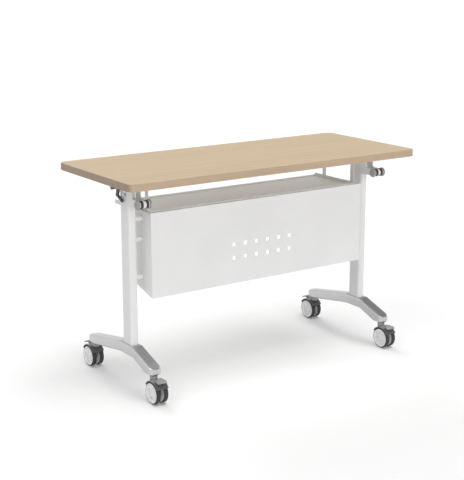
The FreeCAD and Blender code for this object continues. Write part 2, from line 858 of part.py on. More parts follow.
def make_release_lever(side):
    """A hook plate with a finger handle; it is drawn hooked and turned open about its pivot."""
    lever = new_body(f"release_lever_{side}", column_x[side], lever_y, lever_pivot_height)
    lever.Placement.Rotation = FreeCAD.Rotation(FreeCAD.Vector(1, 0, 0), d.lever_open_angle.value)
    lever.setExpression("Placement.Rotation.Angle", d.lever_open_angle.text)
    hook_top = catch_pin_height - d.catch_pin_diameter / 2 - d.seat_clearance - lever_pivot_height
    hook_low = hook_top - d.lever_hook_width
    hub = d.lever_hub_radius
    half_grip = d.lever_handle_width / 2
    outline = [
        (-d.lever_hook_reach, hook_low),
        (ZERO, hook_low),
        (hub / 2, -hub * LEVER_WAIST_SHARE),
        (d.lever_handle_reach - half_grip, -d.lever_handle_drop - half_grip),
        (d.lever_handle_reach + half_grip, -d.lever_handle_drop + half_grip),
        (hub, hub / 2),
        (hub / 2, hub),
        (-hub / 2, hub),
        (-hub, hub / 2),
        (-hub, hook_top),
        (-d.lever_hook_reach, hook_top),
    ]
    base = lever_low if SIDES[side] > 0 else -(lever_low + d.lever_thickness)
    plate = new_sketch(lever, "YZ", base)
    polygon(plate, outline)
    pad(lever, plate, d.lever_thickness)
    soft_corners = [outline[index] for index in (0, 1, 3, 4, -1)]
    round_edges(lever, d.lever_edge_radius, edges_along(lever, 0, soft_corners))
    bore = new_sketch(lever, "YZ", base - d.overrun)
    circle(bore, ZERO, ZERO, d.lever_pivot_diameter / 2 + d.running_clearance)
    pocket(lever, bore, d.lever_thickness + 2 * d.overrun, reverse=True)
    return lever


def make_lever_pivot(side):
    sign = SIDES[side]
    inner = cheek_inner - d.lever_pivot_head_height
    head_low = lever_low + d.lever_thickness + d.side_clearance
    head_top = head_low + d.lever_pivot_head_height
    radius = d.lever_pivot_diameter / 2
    head = d.lever_pivot_head_diameter / 2
    outline = [
        (sign * inner, ZERO),
        (sign * head_top, ZERO),
        (sign * head_top, head),
        (sign * head_low, head),
        (sign * head_low, radius),
        (sign * inner, radius),
    ]
    return turned_across(f"lever_pivot_{side}", outline, column_x[side], lever_y, lever_pivot_height)


# Crossbeam and modesty panel

def make_crossbeam():
    plate_inner = panel_inner_half - d.beam_plate_thickness
    beam = new_body("crossbeam", ZERO, column_y, beam_level)
    half_y = d.beam_depth / 2
    half_z = d.beam_height / 2
    tube = new_sketch(beam, "YZ")
    rectangle(tube, -half_y, half_y, -half_z, half_z)
    pad(beam, tube, 2 * plate_inner, symmetric=True)
    round_edges(beam, d.beam_corner, edges_along(beam, 0, box_corners(half_y, half_z)))
    hollow = new_sketch(beam, "YZ")
    inner_y = half_y - d.beam_wall
    inner_z = half_z - d.beam_wall
    rectangle(hollow, -inner_y, inner_y, -inner_z, inner_z)
    pocket(beam, hollow, 2 * (plate_inner + d.overrun), symmetric=True)
    plate_y = d.beam_plate_depth / 2
    plate_z = d.beam_plate_height / 2
    for low in (-panel_inner_half, plate_inner):
        plate = new_sketch(beam, "YZ", low)
        rectangle(plate, -plate_y, plate_y, -plate_z, plate_z)
        pad(beam, plate, d.beam_plate_thickness)
    round_edges(beam, d.beam_plate_corner, edges_along(beam, 0, box_corners(plate_y, plate_z)))
    holes = new_sketch(beam, "YZ")
    for level in (-d.beam_bolt_spacing / 2, d.beam_bolt_spacing / 2):
        circle(holes, ZERO, level, bolt_hole_radius)
    pocket(beam, holes, 2 * (panel_inner_half + d.overrun), symmetric=True)
    return beam


def make_modesty_panel():
    panel = new_body("modesty_panel", ZERO, -d.panel_front)
    half = panel_half
    back = d.panel_flange_depth
    folded = new_sketch(panel, "XY", panel_bottom)
    outline = [
        (-half, ZERO),
        (half, ZERO),
        (half, back),
        (panel_inner_half, back),
        (panel_inner_half, d.panel_sheet),
        (-panel_inner_half, d.panel_sheet),
        (-panel_inner_half, back),
        (-half, back),
    ]
    polygon(folded, outline)
    pad(panel, folded, panel_top - panel_bottom)
    round_edges(panel, d.panel_fold_radius, edges_along(panel, 2, outline[:2]))
    slope = new_sketch(panel, "YZ")
    points = [
        (d.panel_sheet, panel_bottom - d.overrun),
        (back + d.overrun, panel_bottom - d.overrun),
        (back + d.overrun, panel_bottom + d.panel_flange_rise * (back + d.overrun) / back),
        (d.panel_sheet, panel_bottom + d.panel_flange_rise * d.panel_sheet / back),
    ]
    polygon(slope, points)
    pocket(panel, slope, 2 * (panel_half + d.overrun), symmetric=True)
    for low in (panel_bottom, panel_top - d.panel_sheet):
        lip = new_sketch(panel, "XY", low)
        rectangle(lip, -panel_inner_half, panel_inner_half, d.panel_sheet, d.panel_lip)
        pad(panel, lip, d.panel_sheet)
    punched = new_sketch(panel, "XZ")
    hole = d.hole_size / 2
    for row in (-1, 1):
        for column in (-5, -3, -1, 1, 3, 5):
            x = column * d.hole_pitch / 2
            z = hole_level + row * d.hole_pitch / 2
            rectangle(punched, x - hole, x + hole, z - hole, z + hole)
    pocket(panel, punched, 2 * (d.panel_sheet + d.overrun), symmetric=True)
    bolts = new_sketch(panel, "YZ")
    for level in beam_bolt_levels + [panel_low_bolt_level]:
        circle(bolts, column_y + d.panel_front, level, bolt_hole_radius)
    pocket(panel, bolts, 2 * (panel_half + d.overrun), symmetric=True)
    return panel


column_face = column_offset - d.column_width / 2
nut_flange_face = column_face - d.rivet_nut_flange_height


def bolt_places():
    """Bolt level and the face its head bears on, as a distance from the middle of the table."""
    places = [(level, panel_inner_half - d.beam_plate_thickness) for level in beam_bolt_levels]
    places.append((panel_low_bolt_level, panel_inner_half))
    return places


def make_panel_bolt(side, number, level, face):
    sign = SIDES[side]
    end = column_face + d.rivet_nut_length - d.rivet_nut_flange_height
    shank = d.bolt_diameter / 2
    head = d.bolt_head_diameter / 2
    top = face - d.bolt_head_height
    outline = [
        (sign * top, ZERO),
        (sign * end, ZERO),
        (sign * end, shank),
        (sign * face, shank),
        (sign * face, head),
        (sign * (top + d.bolt_head_height * BOLT_BROW_SHARE), head),
        (sign * top, head * BOLT_CROWN_SHARE),
    ]
    return turned_across(f"panel_bolt_{side}_{number}", outline, ZERO, column_y, level)


def make_panel_spacer(side, number, level):
    sign = SIDES[side]
    low = sign * panel_half
    high = sign * nut_flange_face
    radius = d.spacer_diameter / 2
    outline = [(low, bolt_hole_radius), (high, bolt_hole_radius), (high, radius), (low, radius)]
    return turned_across(f"panel_spacer_{side}_{number}", outline, ZERO, column_y, level)


def make_rivet_nut(side, number, level):
    sign = SIDES[side]
    flange = d.rivet_nut_flange_diameter / 2
    barrel = d.rivet_nut_diameter / 2
    end = nut_flange_face + d.rivet_nut_length
    outline = [
        (sign * nut_flange_face, bolt_hole_radius),
        (sign * end, bolt_hole_radius),
        (sign * end, barrel),
        (sign * column_face, barrel),
        (sign * column_face, flange),
        (sign * nut_flange_face, flange),
    ]
    return turned_across(f"rivet_nut_{side}_{number}", outline, ZERO, column_y, level)


# Book tray hung under the board

tray_inner_half = tray_half - d.tray_sheet
hanger_rows = [-d.tray_front + d.hanger_front_inset, d.tray_back - d.hanger_back_inset]
rivet_level = tray_level + d.tray_side_lip / 2 + d.tray_sheet


def make_book_tray():
    tray = new_body("book_tray")
    section = new_sketch(tray, "YZ")
    low = tray_level
    floor = tray_level + d.tray_sheet
    outline = [
        (-d.tray_front, low),
        (d.tray_back, low),
        (d.tray_back, low + d.tray_back_lip),
        (d.tray_back - d.tray_sheet, low + d.tray_back_lip),
        (d.tray_back - d.tray_sheet, floor),
        (-d.tray_front + d.tray_sheet, floor),
        (-d.tray_front + d.tray_sheet, low + d.tray_front_lip),
        (-d.tray_front, low + d.tray_front_lip),
    ]
    polygon(section, outline)
    pad(tray, section, 2 * tray_half, symmetric=True)
    for face in (-tray_half, tray_inner_half):
        lip = new_sketch(tray, "YZ", face)
        rectangle(lip, -d.tray_front, d.tray_back, low, low + d.tray_side_lip)
        pad(tray, lip, d.tray_sheet)
    rivets = new_sketch(tray, "YZ")
    for y in hanger_rows:
        circle(rivets, y, rivet_level, d.tray_rivet_diameter / 2 + d.running_clearance)
    pocket(tray, rivets, 2 * (tray_half + d.overrun), symmetric=True)
    return tray


def make_tray_hanger(side, number, y):
    """An angle strap: the foot is screwed under the board, the strap is riveted to the tray."""
    sign = SIDES[side]
    hanger = new_body(f"tray_hanger_{side}_{number}", ZERO, y)
    inner = sign * tray_half
    outer = sign * (tray_half + d.hanger_sheet)
    foot = sign * (tray_half - d.hanger_foot)
    strap = new_sketch(hanger, "XZ")
    outline = [
        (inner, tray_level),
        (outer, tray_level),
        (outer, board_low),
        (foot, board_low),
        (foot, board_low - d.hanger_sheet),
        (inner, board_low - d.hanger_sheet),
    ]
    polygon(strap, outline)
    pad(hanger, strap, d.hanger_width, symmetric=True)
    half = d.hanger_width / 2
    low_corners = [(-half, tray_level), (half, tray_level)]
    round_edges(hanger, d.hanger_width * HANGER_TOE_SHARE, edges_along(hanger, 0, low_corners))
    rivet = new_sketch(hanger, "YZ")
    circle(rivet, ZERO, rivet_level, d.tray_rivet_diameter / 2 + d.running_clearance)
    pocket(hanger, rivet, 2 * (tray_half + d.hanger_sheet + d.overrun), symmetric=True)
    screw = new_sketch(hanger, "XY", board_low - d.hanger_sheet - d.overrun)
    circle(screw, sign * hanger_screw_x, ZERO, d.screw_diameter / 2 + d.running_clearance)
    pocket(hanger, screw, d.hanger_sheet + 2 * d.overrun, reverse=True)
    return hanger


hanger_screw_x = tray_half - d.hanger_foot / 2


def hanger_screw_places():
    return [(sign * hanger_screw_x, y) for sign in SIDES.values() for y in hanger_rows]


def make_tray_rivet(side, number, y):
    sign = SIDES[side]
    outer = tray_half + d.hanger_sheet
    head = d.tray_rivet_head_diameter / 2
    shank = d.tray_rivet_diameter / 2
    outline = [
        (sign * (tray_inner_half - d.tray_rivet_head_height), ZERO),
        (sign * (outer + d.tray_rivet_head_height), ZERO),
        (sign * (outer + d.tray_rivet_head_height), head / 2),
        (sign * outer, head),
        (sign * outer, shank),
        (sign * tray_inner_half, shank),
        (sign * tray_inner_half, head),
        (sign * (tray_inner_half - d.tray_rivet_head_height), head / 2),
    ]
    return turned_across(f"tray_rivet_{side}_{number}", outline, ZERO, y, rivet_level)


# Casters

stem_top = d.foot_end_bottom + d.stem_engagement
hood_top = d.foot_end_bottom - d.stem_collar_height - d.seat_clearance - d.wheel_radius
hood_boss_low = hood_top - d.hood_boss_height
hood_inner_radius = d.wheel_radius + d.hood_gap


def make_caster_stem(label, x, y):
    radius = d.stem_diameter / 2
    collar = d.stem_collar_diameter / 2
    low = hood_boss_low + d.hood_socket_floor + d.seat_clearance + d.wheel_radius
    outline = [
        (ZERO, low),
        (radius, low),
        (radius, d.foot_end_bottom - d.stem_collar_height),
        (collar, d.foot_end_bottom - d.stem_collar_height),
        (collar, d.foot_end_bottom),
        (radius, d.foot_end_bottom),
        (radius, stem_top - d.slide_clearance),
        (ZERO, stem_top - d.slide_clearance),
    ]
    return turned_upright(label, outline, x, y)


def make_hood(label, x, y, turn):
    """A twin-wheel caster body: web between the wheels, fender over them, socket for the stem."""
    hood = new_body(label, x, y, d.wheel_radius, turn)
    width = 2 * (d.wheel_inner_face + d.wheel_width)
    fender = new_sketch(hood, "XZ")
    rectangle(fender, -width / 2, width / 2, hood_inner_radius, hood_inner_radius + d.hood_shell)
    revolve(hood, fender, "H_Axis", d.hood_sweep_angle)
    web = new_sketch(hood, "YZ")
    foot = d.hood_web_foot
    outline = [
        (-foot, -foot),
        (foot, -foot),
        (d.pedal_pivot_offset + d.pedal_lug_radius, hood_inner_radius - d.hood_shell),
        (d.pedal_pivot_offset + d.pedal_lug_radius, d.pedal_pivot_rise),
        (d.pedal_pivot_offset - d.pedal_lug_radius, d.pedal_pivot_rise),
        (ZERO, hood_inner_radius + d.hood_shell / 2),
        (-d.hood_web_spread, hood_inner_radius - d.hood_web_foot),
    ]
    polygon(web, outline)
    pad(hood, web, d.hood_web, symmetric=True)
    lug = new_sketch(hood, "YZ")
    circle(lug, d.pedal_pivot_offset, d.pedal_pivot_rise, d.pedal_lug_radius)
    pad(hood, lug, d.hood_web, symmetric=True)
    boss = new_sketch(hood, "XY", hood_boss_low)
    circle(boss, ZERO, -d.caster_trail, d.hood_boss_diameter / 2)
    pad(hood, boss, d.hood_boss_height)
    socket = new_sketch(hood, "XY", hood_boss_low + d.hood_socket_floor)
    circle(socket, ZERO, -d.caster_trail, d.stem_diameter / 2 + d.running_clearance)
    pocket(hood, socket, d.hood_boss_height, reverse=True)
    bores = new_sketch(hood, "YZ")
    circle(bores, ZERO, ZERO, d.axle_diameter / 2 + d.running_clearance)
    circle(bores, d.pedal_pivot_offset, d.pedal_pivot_rise, d.pedal_pivot_diameter / 2 + d.running_clearance)
    pocket(hood, bores, width, symmetric=True)
    return hood


def make_axle(label, x, y, turn):
    half = d.wheel_inner_face + d.wheel_width - d.hub_face_depth
    radius = d.axle_diameter / 2
    outline = [(-half, ZERO), (half, ZERO), (half, radius), (-half, radius)]
    return turned_across(label, outline, x, y, d.wheel_radius, turn)


def make_hub(label, x, y, turn):
    """A dished hub: rim, thin disc and centre boss, open towards the outside."""
    inner = d.wheel_inner_face
    outer = inner + d.wheel_width
    rim = d.wheel_radius - d.tyre_thickness
    bore = d.axle_diameter / 2 + d.running_clearance
    outline = [
        (inner, bore),
        (inner, rim),
        (outer, rim),
        (outer, rim - d.hub_rim),
        (outer - d.hub_face_depth, rim - d.hub_rim - d.hub_face_depth),
        (outer - d.hub_face_depth, d.hub_boss_radius + d.hub_face_depth),
        (outer - d.hub_face_depth * HUB_BOSS_SINK_SHARE, d.hub_boss_radius),
        (outer - d.hub_face_depth * HUB_BOSS_SINK_SHARE, ZERO),
        (outer - d.hub_face_depth + d.slide_clearance, ZERO),
        (outer - d.hub_face_depth + d.slide_clearance, bore),
    ]
    return turned_across(label, outline, x, y, d.wheel_radius, turn)


def make_tyre(label, x, y, turn):
    inner = d.wheel_inner_face
    outer = inner + d.wheel_width
    rim = d.wheel_radius - d.tyre_thickness
    crown = d.tyre_crown
    outline = [
        (inner, rim),
        (outer, rim),
        (outer, d.wheel_radius - 2 * crown),
        (outer - crown, d.wheel_radius - crown / 2),
        (outer - 3 * crown, d.wheel_radius),
        (inner + 3 * crown, d.wheel_radius),
        (inner + crown, d.wheel_radius - crown / 2),
        (inner, d.wheel_radius - 2 * crown),
    ]
    return turned_across(label, outline, x, y, d.wheel_radius, turn)


def make_brake_pedal(label, x, y, turn):
    """A tread with two ears and a moulded cross pin that turns in the hood's lug."""
    pedal = new_body(label, x, y, d.wheel_radius, turn)
    ear_low = d.hood_web / 2 + d.side_clearance
    pivot_y = d.pedal_pivot_offset
    pivot_z = d.pedal_pivot_rise
    pin = new_sketch(pedal, "YZ")
    circle(pin, pivot_y, pivot_z, d.pedal_pivot_diameter / 2)
    pad(pedal, pin, 2 * (ear_low + d.pedal_ear), symmetric=True)
    tread_low = pivot_y + d.pedal_lug_radius + d.pedal_swing_gap
    tread_end = pivot_y + d.pedal_reach
    tip_drop = d.pedal_thickness
    outline = [
        (tread_low, pivot_z - d.pedal_thickness / 2),
        (tread_end, pivot_z - d.pedal_thickness / 2 - tip_drop),
        (tread_end, pivot_z + d.pedal_thickness / 2 - tip_drop),
        (tread_low, pivot_z + d.pedal_thickness / 2),
    ]
    tread = new_sketch(pedal, "YZ")
    polygon(tread, outline)
    pad(pedal, tread, d.pedal_width, symmetric=True)
    ear_outline = [
        (pivot_y, pivot_z - d.pedal_thickness / 2),
        (tread_low + d.pedal_ear, pivot_z - d.pedal_thickness / 2 - tip_drop / 2),
        (tread_low + d.pedal_ear, pivot_z + d.pedal_thickness / 2 - tip_drop / 2),
        (pivot_y, pivot_z + d.pedal_thickness / 2),
    ]
    for low in (-ear_low - d.pedal_ear, ear_low):
        ear = new_sketch(pedal, "YZ", low)
        polygon(ear, ear_outline)
        pad(pedal, ear, d.pedal_ear)
        eye = new_sketch(pedal, "YZ", low)
        circle(eye, pivot_y, pivot_z, d.pedal_lug_radius)
        pad(pedal, eye, d.pedal_ear)
    return pedal


# Assembly

keep(make_tabletop())
keep(make_edge_band())
for side in SIDES:
    keep(make_flip_bracket(side))
    keep(make_column(side))
    keep(make_foot(side))
    keep(make_head(side))
    keep(make_release_lever(side))
bracket_screws = []
for number, (x, y) in enumerate(bracket_screw_places()):
    bracket_screws.append(make_wood_screw(f"bracket_screw_{number}", x, y, bracket_low))
keep_group("bracket_screws", bracket_screws)
keep_group("column_inserts", [make_column_insert(side) for side in SIDES])
keep_group("foot_bolts", [make_foot_bolt(side) for side in SIDES])
keep_group("rest_pads", [make_rest_pad(side) for side in SIDES])
keep_group("catch_pins", [make_catch_pin(side) for side in SIDES])
keep_group("hinge_pins", [make_hinge_pin(side) for side in SIDES])
keep_group("hinge_bushings", [make_hinge_bushing(side, sign) for side in SIDES for sign in (-1, 1)])
keep_group("hinge_caps", [make_hinge_cap(side, sign) for side in SIDES for sign in (-1, 1)])
keep_group("lever_pivots", [make_lever_pivot(side) for side in SIDES])

keep(make_crossbeam())
keep(make_modesty_panel())
panel_bolts = []
panel_spacers = []
rivet_nuts = []
for side in SIDES:
    for number, (level, face) in enumerate(bolt_places()):
        panel_bolts.append(make_panel_bolt(side, number, level, face))
        panel_spacers.append(make_panel_spacer(side, number, level))
        rivet_nuts.append(make_rivet_nut(side, number, level))
keep_group("panel_bolts", panel_bolts)
keep_group("panel_spacers", panel_spacers)
keep_group("rivet_nuts", rivet_nuts)

keep(make_book_tray())
tray_hangers = []
tray_rivets = []
for side in SIDES:
    for number, y in enumerate(hanger_rows):
        tray_hangers.append(make_tray_hanger(side, number, y))
        tray_rivets.append(make_tray_rivet(side, number, y))
keep_group("tray_hangers", tray_hangers)
keep_group("tray_rivets", tray_rivets)
hanger_screws = []
for number, (x, y) in enumerate(hanger_screw_places()):
    hanger_screws.append(make_wood_screw(f"hanger_screw_{number}", x, y, board_low - d.hanger_sheet))
keep_group("hanger_screws", hanger_screws)

stems = []
for side in SIDES:
    for end, sign in (("front", -1), ("rear", 1)):
        caster = f"caster_{end}_{side}"
        x = column_x[side]
        y = sign * (caster_reach + d.caster_trail)
        turn = 0 if sign > 0 else 180
        stems.append(make_caster_stem(f"{caster}_stem", x, sign * caster_reach))
        keep(make_hood(f"{caster}_hood", x, y, turn))
        keep(make_axle(f"{caster}_axle", x, y, turn))
        hubs = [make_hub(f"{caster}_hub_{half}", x, y, half) for half in (0, 180)]
        tyres = [make_tyre(f"{caster}_tyre_{half}", x, y, half) for half in (0, 180)]
        keep_group(f"{caster}_hubs", hubs)
        keep_group(f"{caster}_tyres", tyres)
        keep(make_brake_pedal(f"{caster}_brake_pedal", x, y, turn))
keep_group("caster_stems", stems)

doc.recompute()
for thing in doc.Objects:
    if "Invalid" in thing.State or "Error" in thing.State:
        raise RuntimeError(f"{thing.Label} failed: {thing.State}")
for node in nodes:
    if node.Shape.isNull() or not node.Shape.isValid():
        raise RuntimeError(f"{node.Label} has no valid shape")

os.makedirs("parts", exist_ok=True)
for node in nodes:
    node.Shape.exportStep(f"parts/{node.Label}.step")
    print(node.Label, len(node.Shape.Solids), round(node.Shape.Volume, 1))
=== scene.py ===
import json
import math

import bmesh
import bpy
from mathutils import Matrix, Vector


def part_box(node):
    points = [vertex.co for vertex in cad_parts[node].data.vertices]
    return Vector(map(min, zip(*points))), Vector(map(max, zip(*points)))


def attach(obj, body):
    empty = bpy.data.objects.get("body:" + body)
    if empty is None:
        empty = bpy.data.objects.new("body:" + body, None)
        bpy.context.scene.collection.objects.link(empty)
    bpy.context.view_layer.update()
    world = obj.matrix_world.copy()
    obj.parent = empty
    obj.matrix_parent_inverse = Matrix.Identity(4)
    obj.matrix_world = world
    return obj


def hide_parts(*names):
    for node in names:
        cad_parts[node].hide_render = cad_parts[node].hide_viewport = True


# Looks of the mobile training table. All lengths are metres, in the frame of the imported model.

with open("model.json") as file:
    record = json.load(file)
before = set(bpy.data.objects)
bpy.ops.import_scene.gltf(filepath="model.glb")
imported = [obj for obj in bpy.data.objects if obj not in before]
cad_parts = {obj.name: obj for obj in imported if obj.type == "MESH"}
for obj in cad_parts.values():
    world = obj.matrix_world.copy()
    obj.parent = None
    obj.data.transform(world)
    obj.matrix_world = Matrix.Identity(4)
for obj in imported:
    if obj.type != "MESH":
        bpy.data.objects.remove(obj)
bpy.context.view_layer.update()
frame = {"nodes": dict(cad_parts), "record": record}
cad_nodes = frame["nodes"]
slot_of = {part["node"]: part["material_slot"] for part in frame["record"]["subparts"]}
SIDES = ("left", "right")
OUTWARD_OF_END = {"front": -1, "rear": 1}
UP = Vector((0, 0, 1))
SIDEWAYS = Vector((1, 0, 0))


# Node trees

OPAQUE = 1.0
UNTINTED = (1.0, 1.0, 1.0)
BEVEL_SAMPLES = 4
FLAT_LIKENESS = 0.99
EDGE_LIKENESS = 0.80


def shade(colour, share):
    return tuple(channel * share for channel in colour)


class Tree:
    """Adds nodes to a node tree and joins them."""

    def __init__(self, node_tree):
        self.nodes = node_tree.nodes
        self.links = node_tree.links

    def feed(self, node, inputs):
        """Gives inputs of a node their values, or joins them to the outputs of other nodes."""
        for name, value in inputs.items():
            if isinstance(value, bpy.types.NodeSocket):
                self.links.new(value, node.inputs[name])
            else:
                node.inputs[name].default_value = value

    def add(self, kind, inputs):
        node = self.nodes.new(kind)
        self.feed(node, inputs)
        return node

    def combined(self, operation, first, second):
        """One number from two, such as their product or the larger one."""
        node = self.nodes.new("ShaderNodeMath")
        node.operation = operation
        self.feed(node, {0: first, 1: second})
        return node.outputs["Value"]

    def likeness(self, first, second):
        """1 where two directions are the same, and less the more they differ."""
        node = self.nodes.new("ShaderNodeVectorMath")
        node.operation = "DOT_PRODUCT"
        self.feed(node, {0: first, 1: second})
        return node.outputs["Value"]

    def graded(self, value, low=0.0, high=1.0, start=0.0, end=1.0):
        """Goes from start to end as a value goes from low to high."""
        node = self.add("ShaderNodeMapRange", {
            "Value": value, "From Min": low, "From Max": high, "To Min": start, "To Max": end,
        })
        return node.outputs["Result"]

    def seen_directly(self):
        """1 for rays from the camera, in mirrors and through glass, 0 for light that falls on surfaces."""
        path = self.nodes.new("ShaderNodeLightPath")
        seen = self.combined("MAXIMUM", path.outputs["Is Camera Ray"], path.outputs["Is Glossy Ray"])
        return self.combined("MAXIMUM", seen, path.outputs["Is Transmission Ray"])


class Finish(Tree):
    """A material whose marks and relief are laid out on the piece itself."""

    def __init__(self, name):
        self.material = bpy.data.materials.new(name)
        self.material.use_nodes = True
        super().__init__(self.material.node_tree)
        self.shader = self.nodes["Principled BSDF"]
        texture = self.nodes.new("ShaderNodeTexCoord")
        self.place = texture.outputs["Object"]
        self.normal = texture.outputs["Normal"]

    def stretched(self, scale):
        node = self.add("ShaderNodeMapping", {"Vector": self.place, "Scale": scale})
        return node.outputs["Vector"]

    def noise(self, vector, scale, detail, roughness=0.55, distortion=0.0):
        node = self.add("ShaderNodeTexNoise", {
            "Vector": vector, "Scale": scale, "Detail": detail, "Roughness": roughness,
            "Distortion": distortion,
        })
        return node.outputs["Fac"]

    def bands(self, vector, scale, distortion, detail, detail_scale):
        """Wavy bands that follow one another along Y."""
        node = self.add("ShaderNodeTexWave", {
            "Vector": vector, "Scale": scale, "Distortion": distortion, "Detail": detail,
            "Detail Scale": detail_scale,
        })
        node.wave_type = "BANDS"
        node.bands_direction = "Y"
        return node.outputs["Fac"]

    def cells(self, scale):
        node = self.add("ShaderNodeTexVoronoi", {"Vector": self.place, "Scale": scale})
        return node.outputs["Distance"]

    def ramp(self, factor, stops):
        """Colours along a factor. Each stop is a level of the factor and the colour there."""
        node = self.add("ShaderNodeValToRGB", {"Fac": factor})
        elements = node.color_ramp.elements
        while len(elements) < len(stops):
            elements.new(position=0.5)
        for element, (level, colour) in zip(elements, stops):
            element.position = level
            element.color = (*colour, OPAQUE)
        return node.outputs["Color"]

    def tones(self, factor, colour, *stops):
        """Shades of a colour along a factor. A stop is a level of the factor and a share of the colour."""
        return self.ramp(factor, [(level, shade(colour, share)) for level, share in stops])

    def mixed(self, factor, first, second, method="MIX"):
        """The first colour, turned into the second or tinted by it as far as the factor says."""
        node = self.nodes.new("ShaderNodeMix")
        node.data_type = "RGBA"
        node.blend_type = method
        self.feed(node, {"Factor": factor, "A": first, "B": second})
        return node.outputs["Result"]

    def tinted(self, base, tint, share, factor, low, high):
        """The base colour with a share of a tint, which fades out as the factor goes from low to high."""
        fading = self.ramp(factor, [(low, tint), (high, UNTINTED)])
        return self.mixed(share, base, fading, "MULTIPLY")

    def rising(self, vector, axis, low, high):
        """0 to 1 as one part of a vector goes from low to high."""
        parts = self.add("ShaderNodeSeparateXYZ", {"Vector": vector})
        return self.graded(parts.outputs[axis], low, high)

    def rounded(self, radius):
        """The direction of the surface as if its edges were rounded."""
        node = self.add("ShaderNodeBevel", {"Radius": radius})
        node.samples = BEVEL_SAMPLES
        return node.outputs["Normal"]

    def worn_edges(self, base, worn, radius):
        """The base colour, rubbed to the worn colour in patches along sharp edges."""
        geometry = self.nodes.new("ShaderNodeNewGeometry")
        likeness = self.likeness(self.rounded(radius), geometry.outputs["Normal"])
        edge = self.graded(likeness, FLAT_LIKENESS, EDGE_LIKENESS)
        patches = self.noise(self.place, scale=140.0, detail=4.0, roughness=0.6)
        rubbed = self.combined("MULTIPLY", edge, patches)
        bare = self.tones(patches, worn, (0.3, 0.94), (0.7, 1.04))
        return self.mixed(rubbed, base, bare)

    def colour(self, source):
        self.feed(self.shader, {"Base Color": source})

    def metal(self):
        self.feed(self.shader, {"Metallic": 1.0})

    def roughness(self, factor, low, high):
        self.feed(self.shader, {"Roughness": self.graded(factor, start=low, end=high)})

    def relief(self, height, strength, distance, edge_radius):
        """Fine relief, over edges that the light finds slightly rounded."""
        bump = self.add("ShaderNodeBump", {
            "Height": height, "Strength": strength, "Distance": distance,
            "Normal": self.rounded(edge_radius),
        })
        self.feed(self.shader, {"Normal": bump.outputs["Normal"]})


# Materials

OAK = (0.613, 0.469, 0.302)
OAK_EDGE = (0.575, 0.425, 0.302)
# Painted shade: a darker wood colour for the board's end faces
OAK_SHADED_END = (0.375, 0.283, 0.200)
GROWTH_TINT = (0.90, 0.885, 0.86)
FIBRE_TINT = (0.90, 0.88, 0.85)
PORE_TINT = (0.72, 0.66, 0.58)
BACKING = (0.74, 0.66, 0.57)
WHITE = (0.87, 0.87, 0.865)
SILVER = (0.58, 0.58, 0.59)
SILVER_GRAIN_TINT = (0.88, 0.88, 0.88)
BLACK_NYLON = (0.045, 0.045, 0.048)
CAP_NYLON = (0.40, 0.40, 0.41)
HOOD_DARK = (0.10, 0.10, 0.105)
HOOD_LIGHT = (0.40, 0.40, 0.41)
HUB = (0.92, 0.92, 0.92)
TYRE = (0.035, 0.035, 0.037)
ZINC = (0.62, 0.62, 0.63)
RUBBER = (0.03, 0.03, 0.03)
NYLON_ROUGHNESS = (0.38, 0.52)
HOOD_ROUGHNESS = (0.36, 0.50)
HUB_ROUGHNESS = (0.34, 0.46)
WORN_SHARE = 1.25
WORN_HOOD_SHARE = 1.1
HOOD_DARK_BELOW = 0.076
HOOD_LIGHT_ABOVE = 0.081


def oak_laminate(name, colour):
    """Straight grain along the board, with growth bands, fibres and short dark pores.
    End faces are painted darker, as painted shade, and the underside is a plain backing sheet."""
    tree = Finish(name)
    growth = tree.bands(
        tree.stretched((0.22, 1.0, 1.0)), scale=7.5, distortion=5.5, detail=4.0, detail_scale=1.3
    )
    cloud = tree.noise(
        tree.stretched((0.7, 9.0, 9.0)), scale=3.0, detail=6.0, roughness=0.6, distortion=0.5
    )
    fibre = tree.noise(tree.stretched((4.0, 190.0, 190.0)), scale=3.0, detail=5.0, roughness=0.7)
    pores = tree.noise(tree.stretched((14.0, 420.0, 420.0)), scale=2.0, detail=2.0, roughness=0.5)
    speckle = tree.noise(tree.place, scale=160.0, detail=5.0, roughness=0.6)
    wood = tree.tones(cloud, colour, (0.30, 0.93), (0.52, 1.0), (0.74, 1.05))
    # Painted shade: a darker copy of the wood for the end faces
    shaded_end = tree.tones(cloud, OAK_SHADED_END, (0.30, 0.93), (0.74, 1.05))
    backing = tree.tones(speckle, BACKING, (0.3, 0.95), (0.7, 1.04))
    # The faces at both ends along X take the painted shade
    for end in (1, -1):
        end_face = tree.rising(tree.normal, "X", low=0.5 * end, high=0.95 * end)
        wood = tree.mixed(end_face, wood, shaded_end)
    wood = tree.tinted(wood, GROWTH_TINT, share=0.55, factor=growth, low=0.0, high=0.45)
    wood = tree.tinted(wood, FIBRE_TINT, share=0.6, factor=fibre, low=0.30, high=0.60)
    wood = tree.tinted(wood, PORE_TINT, share=0.5, factor=pores, low=0.28, high=0.38)
    underside = tree.rising(tree.normal, "Z", low=-0.6, high=-0.8)
    tree.colour(tree.mixed(underside, wood, backing))
    tree.roughness(cloud, low=0.42, high=0.54)
    tree.relief(fibre, strength=0.12, distance=0.0002, edge_radius=0.0004)
    return tree.material


def powder_coat(name, colour):
    """Baked paint with a fine orange-peel skin."""
    tree = Finish(name)
    broad = tree.noise(tree.place, scale=5.0, detail=3.0)
    peel = tree.noise(tree.place, scale=950.0, detail=2.0)
    tree.colour(tree.tones(broad, colour, (0.3, 0.975), (0.7, 1.015)))
    tree.roughness(peel, low=0.36, high=0.46)
    tree.relief(peel, strength=0.10, distance=0.0003, edge_radius=0.0006)
    return tree.material


